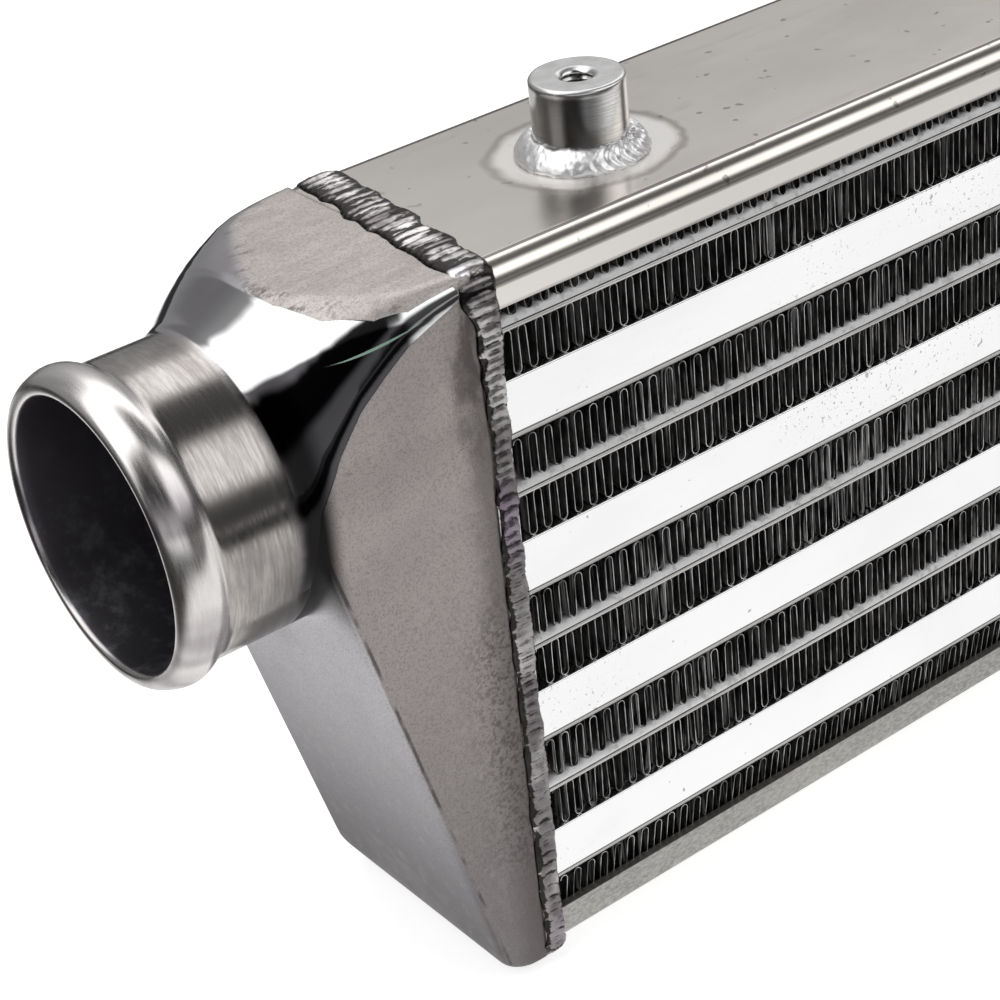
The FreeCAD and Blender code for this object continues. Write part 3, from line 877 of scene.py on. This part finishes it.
def tank_piece(name, node, side):
    """Hollow casting as one mesh: rows of points round the neck axis, outside and back inside."""
    upper, lower = 250, 50
    columns = upper + lower
    rows, inside = [], []

    def add_row(u, radius, within, angles):
        r = radius if isinstance(radius, np.ndarray) else np.full(columns, float(radius))
        x = np.full(columns, side * (HALF_CORE + u))
        rows.append(np.stack([x, r * np.cos(angles), NECK_LEVEL + r * np.sin(angles)], 1))
        inside.append(np.full(columns, float(within)))

    for u in np.concatenate([[0, 0.8, 2.0, 4, 6, 8], np.arange(9.4, 52.0, 0.6), [53.0, 55.0, 58, 61]]):
        angles = tank_angles(u, upper, lower, 0.0)
        add_row(u, tank_radius(u, angles, 0.0, NECK_RADIUS), 0.0, angles)
    even = tank_angles(70.0, upper, lower, 0.0)
    hose_bead = [(62.0, 0.0), (62.6, 0.15), (63.4, 0.62), (64.2, 1.18), (65.2, 1.72), (66.2, 2.05),
                 (67.4, 2.2), (68.6, 2.12), (69.8, 1.8), (70.8, 1.42), (71.6, 1.1), (72.2, 0.72),
                 (72.7, 0.3), (73.05, -0.2), (73.25, -0.7), (73.3, -1.2), (73.28, -1.7),
                 (73.1, -2.1), (72.7, -2.45)]
    for u, rise in hose_bead:
        add_row(u, NECK_RADIUS + rise, 0.0, even)
    for u in (72.0, 70.0, 64.0, 58.0, 52.0, 46.0):
        add_row(u, BORE_RADIUS, 1.0, even)
    for u in np.concatenate([np.arange(42.0, 9.0, -2.2), [8.0, 5.0, 2.0, 0.0]]):
        angles = tank_angles(u, upper, lower, WALL)
        add_row(u, tank_radius(u, angles, WALL, BORE_RADIUS), 1.0, angles)
    faces = grid_faces(len(rows), columns, close_rows=True, flip=side < 0)
    piece = add_piece(name, np.concatenate(rows), faces, [node], [looks["tank"]])
    set_attribute(piece, "inside", np.concatenate(inside))


# ---------------------------------------------------------------- welds
def bead_mesh(centres, rights, ups, half_widths, heights, ripple, bow, depth, skirt, generator):
    """Rippled bead along a closed path; rights and ups point across and off the surface. Ripple
    counts the lobes, bow curves them, depth cuts them, and skirt at 1 gives round ones and a toe."""
    count, across = len(centres), 14
    v = np.linspace(-1, 1, across + 1)
    lift = np.sqrt(np.clip(1 - v ** 2, 0, 1)) ** 0.8
    points, level = [], []
    left_edge = wobble(count, 5, 0.08, generator)
    right_edge = wobble(count, 5, 0.08, generator)
    toe_edge = wobble(count, 2.5, 0.09, generator)
    pit = generator.normal(0, 0.05, (count, across + 1))
    for i in range(count):
        phase = ripple[i] + bow[i] * v ** 2
        saw = phase - np.floor(phase)
        scale = np.where(saw < 0.72, saw / 0.72, (1 - saw) / 0.28)
        scale = scale + skirt[i] * (np.sin(PI * saw) ** 1.1 - scale)
        edge = np.where(v < 0, 1 + left_edge[i] * np.abs(v), 1 + right_edge[i] * np.abs(v))
        h = heights[i] * lift * (1 - depth[i] * (1 - scale)) + heights[i] * pit[i] * lift
        toe = skirt[i] * np.clip((v - 0.6 - toe_edge[i]) / 0.12, 0, 1)
        h = h * (1 - 0.7 * toe) + 0.12 * toe
        # Level for the material: low in the troughs, at the edges and on the toe, where it paints shade
        clean_and_lit = np.clip(0.15 + 0.85 * scale, 0, 1) + skirt[i] * 0.1
        rim = 0.25 + 0.25 * (1 - skirt[i])
        level.extend(clean_and_lit * np.clip((lift - rim) * 2.2, 0, 1) * (1 - toe) + 0.12 * toe)
        across_point = centres[i][None, :] + rights[i][None, :] * (v * half_widths[i] * edge)[:, None]
        points.extend(across_point + ups[i][None, :] * (h - 0.08)[:, None])
        sunk = centres[i] - ups[i] * 0.9
        points.append(sunk + rights[i] * half_widths[i] * 0.7)
        points.append(sunk - rights[i] * half_widths[i] * 0.7)
        level.extend((0, 0))
    columns = across + 3
    return points, grid_faces(count, columns, close_rows=True), level


def tank_weld_piece(name, node, side):
    """Bead round the joint of tank and core: narrow down the sides, wide across the top."""
    generator = np.random.default_rng(5)
    y_side, z_top, z_low = HALF_DEPTH, CORE_TOP, 1.2
    corner = 5.0
    step = 0.55
    path = []

    def straight(a, b, up):
        n = max(2, int(round(math.dist(a, b) / step)))
        for t in np.arange(n) / n:
            path.append((a[0] + (b[0] - a[0]) * t, a[1] + (b[1] - a[1]) * t, up[0], up[1]))

    def bend(cy, cz, first, last, r):
        n = max(3, int(round(abs(last - first) * r / step)))
        for t in np.arange(n) / n:
            a = first + (last - first) * t
            path.append((cy + r * math.cos(a), cz + r * math.sin(a), math.cos(a), math.sin(a)))

    straight((-y_side, z_low + corner), (-y_side, z_top - corner), (-1, 0))
    bend(-y_side + corner, z_top - corner, PI, PI / 2, corner)
    straight((-y_side + corner, z_top), (y_side - corner, z_top), (0, 1))
    bend(y_side - corner, z_top - corner, PI / 2, 0, corner)
    straight((y_side, z_top - corner), (y_side, z_low + corner), (1, 0))
    bend(y_side - corner, z_low + corner, 0, -PI / 2, corner)
    straight((y_side - corner, z_low), (-y_side + corner, z_low), (0, -1))
    bend(-y_side + corner, z_low + corner, -PI / 2, -PI, corner)
    path = np.array(path)
    count = len(path)
    lower = np.where(path[:, 0] < 0, z_top - 13.0, z_top - 4.0)
    # 0 down the sides and under the core, 1 across the top
    on_top = np.clip((path[:, 1] - lower) / (z_top - 1.0 - lower), 0, 1)
    on_top = on_top ** 2 * (3 - 2 * on_top)
    run = path[:, 0]
    centre_top = np.interp(run, (-HALF_DEPTH, HALF_DEPTH), (-0.75, -7.15))
    middle = -2.5 * (1 - on_top) + centre_top * on_top
    half_top = np.interp(run, (-HALF_DEPTH, HALF_DEPTH), (5.0, 5.4))
    half = 2.75 * (1 - on_top) + half_top * on_top
    middle = middle + wobble(count, 9, 0.12, generator)
    half = half * (1 + wobble(count, 7, 0.05, generator))
    height = 1.15 * (1 - on_top) + 1.2 * on_top
    height = height * np.clip(1 + wobble(count, 10, 0.08, generator), 0.7, 1.0)
    pace = step / (2.0 * (1 - on_top) + 2.5 * on_top)
    ripple = np.cumsum(pace * np.clip(1 + wobble(count, 5, 0.35, generator), 0.35, 2.0))
    ripple *= round(ripple[-1]) / ripple[-1]
    centres = np.stack([side * (HALF_CORE + middle), path[:, 0], path[:, 1]], 1)
    rights = np.tile([float(side), 0, 0], (count, 1))
    ups = np.stack([np.zeros(count), path[:, 2], path[:, 3]], 1)
    bow = 0.5 * (1 - on_top) + 0.12 * on_top
    depth = 0.5 * (1 - on_top) + 0.55 * on_top
    points, faces, level = bead_mesh(centres, rights, ups, half, height, ripple, bow, depth,
                                     1 - on_top, generator)
    if side > 0:
        faces = [f[::-1] for f in faces]
    piece = add_piece(name, points, faces, [node], [looks["joint_weld"]])
    set_attribute(piece, "level", level)


def boss_parts(tag, side):
    """Turned boss with a threaded hole, and the fillet weld round its foot."""
    low, high = (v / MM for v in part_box("mount_boss_" + tag))
    cx, cy = (low.x + high.x) / 2, (low.y + high.y) / 2
    z0, top = CORE_TOP, high.z
    radius = (high.x - low.x) / 2
    turns = 96
    # The third number is the level for the material: low values paint shade down the hole
    profile = [(0.0, z0 + 3.2, 0.1), (3.3, z0 + 3.2, 0.1)]
    pitch = 1.25
    z = z0 + 3.6
    while z < top - 0.9:
        profile += [(3.9, z, 0.15), (3.9, z + 0.15, 0.15), (3.28, z + 0.6, 0.8), (3.28, z + 0.78, 0.8)]
        z += pitch
    profile += [(3.4, top - 0.9, 0.9), (4.3, top - 0.05, 1.0)]
    for i in range(16):
        r = 4.5 + i * (radius - 0.8 - 4.5) / 16
        profile.append((r, top - (0.0 if i % 2 else 0.035), 1.0))
    profile += [(radius - 0.75, top, 1.0), (radius - 0.35, top - 0.12, 1.0),
                (radius - 0.08, top - 0.5, 1.0)]
    for i in range(24):
        profile.append((radius - (0.0 if i % 2 else 0.03), top - 0.8 - i * (top - z0 - 0.8) / 24, 1.0))
    profile += [(radius, z0, 1.0), (0.0, z0, 1.0)]
    angles = np.arange(turns) / turns * 2 * PI
    points, level = [], []
    for r, z, clean_and_lit in profile:
        r = max(r, 0.01)
        points.extend(zip(cx + r * np.cos(angles), cy + r * np.sin(angles), np.full(turns, z)))
        level.extend([clean_and_lit] * turns)
    faces = grid_faces(len(profile), turns, close_rows=True, flip=True)
    piece = add_piece("boss_" + tag, points, faces, ["mount_boss_" + tag], [looks["boss"]])
    set_attribute(piece, "level", level)

    generator = np.random.default_rng(23)
    count = 200
    a = np.arange(count) / count * 2 * PI * side
    ring = radius + 1.9
    lean = math.radians(47)
    out = np.stack([np.cos(a), np.sin(a), np.zeros(count)], 1)
    centres = np.array([cx, cy, z0 + 1.9]) + out * ring
    ups = out * math.sin(lean) + np.array([0, 0, math.cos(lean)])
    rights = out * math.cos(lean) - np.array([0, 0, math.sin(lean)])
    half = 3.3 * (1 + wobble(count, 8, 0.05, generator))
    half = np.where(np.arange(count) > count - 8, half[0], half)
    height = np.full(count, 1.5)
    ripple = np.arange(count) / count * 30
    bow = np.full(count, 1.1)
    facing = np.cos(a - math.radians(-68 if side < 0 else 248))
    depth = 0.05 + 0.6 * np.clip((facing - 0.55) / 0.35, 0, 1)
    points, faces, level = bead_mesh(centres, -rights * side, ups, half, height, ripple, bow, depth,
                                     np.zeros(count), generator)
    points = np.array(points)
    points[:, 2] = np.maximum(points[:, 2], z0 - 0.3)
    if side < 0:
        faces = [f[::-1] for f in faces]
    piece = add_piece("boss_bead_" + tag, points, faces, ["boss_weld_" + tag], [looks["weld"]])
    set_attribute(piece, "level", level)


# ---------------------------------------------------------------- build
make_camera()
bpy.context.scene.view_settings.view_transform = "Standard"
studio_world()
pale_floor()
looks = {"tube": tube_metal(), "divider": divider_metal(), "braze": braze_metal(),
         "groove": groove_metal(), "fin_wall": fin_wall_metal(), "fin_edge": fin_edge_metal(),
         "inside": plain_inside_metal(), "top_plate": top_plate_metal(), "rail": rough_rail_metal(),
         "end_bar": end_bar_metal(), "boss": boss_metal(), "tank": tank_metal(),
         "weld": weld_metal("bright_weld_metal", (0.97, 0.97, 0.97), (0.88, 0.87, 0.87),
                            dark=(-0.2, 0.15), tint_share=0.0, slashes=0.0, rough=0.26, flank=0.0),
         "joint_weld": weld_metal("joint_weld_metal", (0.70, 0.68, 0.665), (0.22, 0.20, 0.20),
                                  dark=(0.28, 0.58), tint_share=0.5, slashes=2.6, rough=0.2,
                                  flank=1.0)}
carried = {"turbulator": "inside", "top_side_plate": "top_plate",
           "bottom_side_plate": "rail", "end_bar": "end_bar"}
for name, node in nodes.items():
    for start, key in carried.items():
        if name.startswith(start):
            node.data.materials.clear()
            node.data.materials.append(looks[key])
for i in range(1, 10):
    fin_row(i)
for i in range(1, 5):
    divider_piece(i)
    tube_piece(i)
for tag, side in (("left", -1), ("right", 1)):
    tank_weld_piece("joint_bead_" + tag, "tank_weld_" + tag, side)
    boss_parts(tag, side)
tank_piece("cast_tank_inlet", "inlet_tank", -1)
tank_piece("cast_tank_outlet", "outlet_tank", 1)
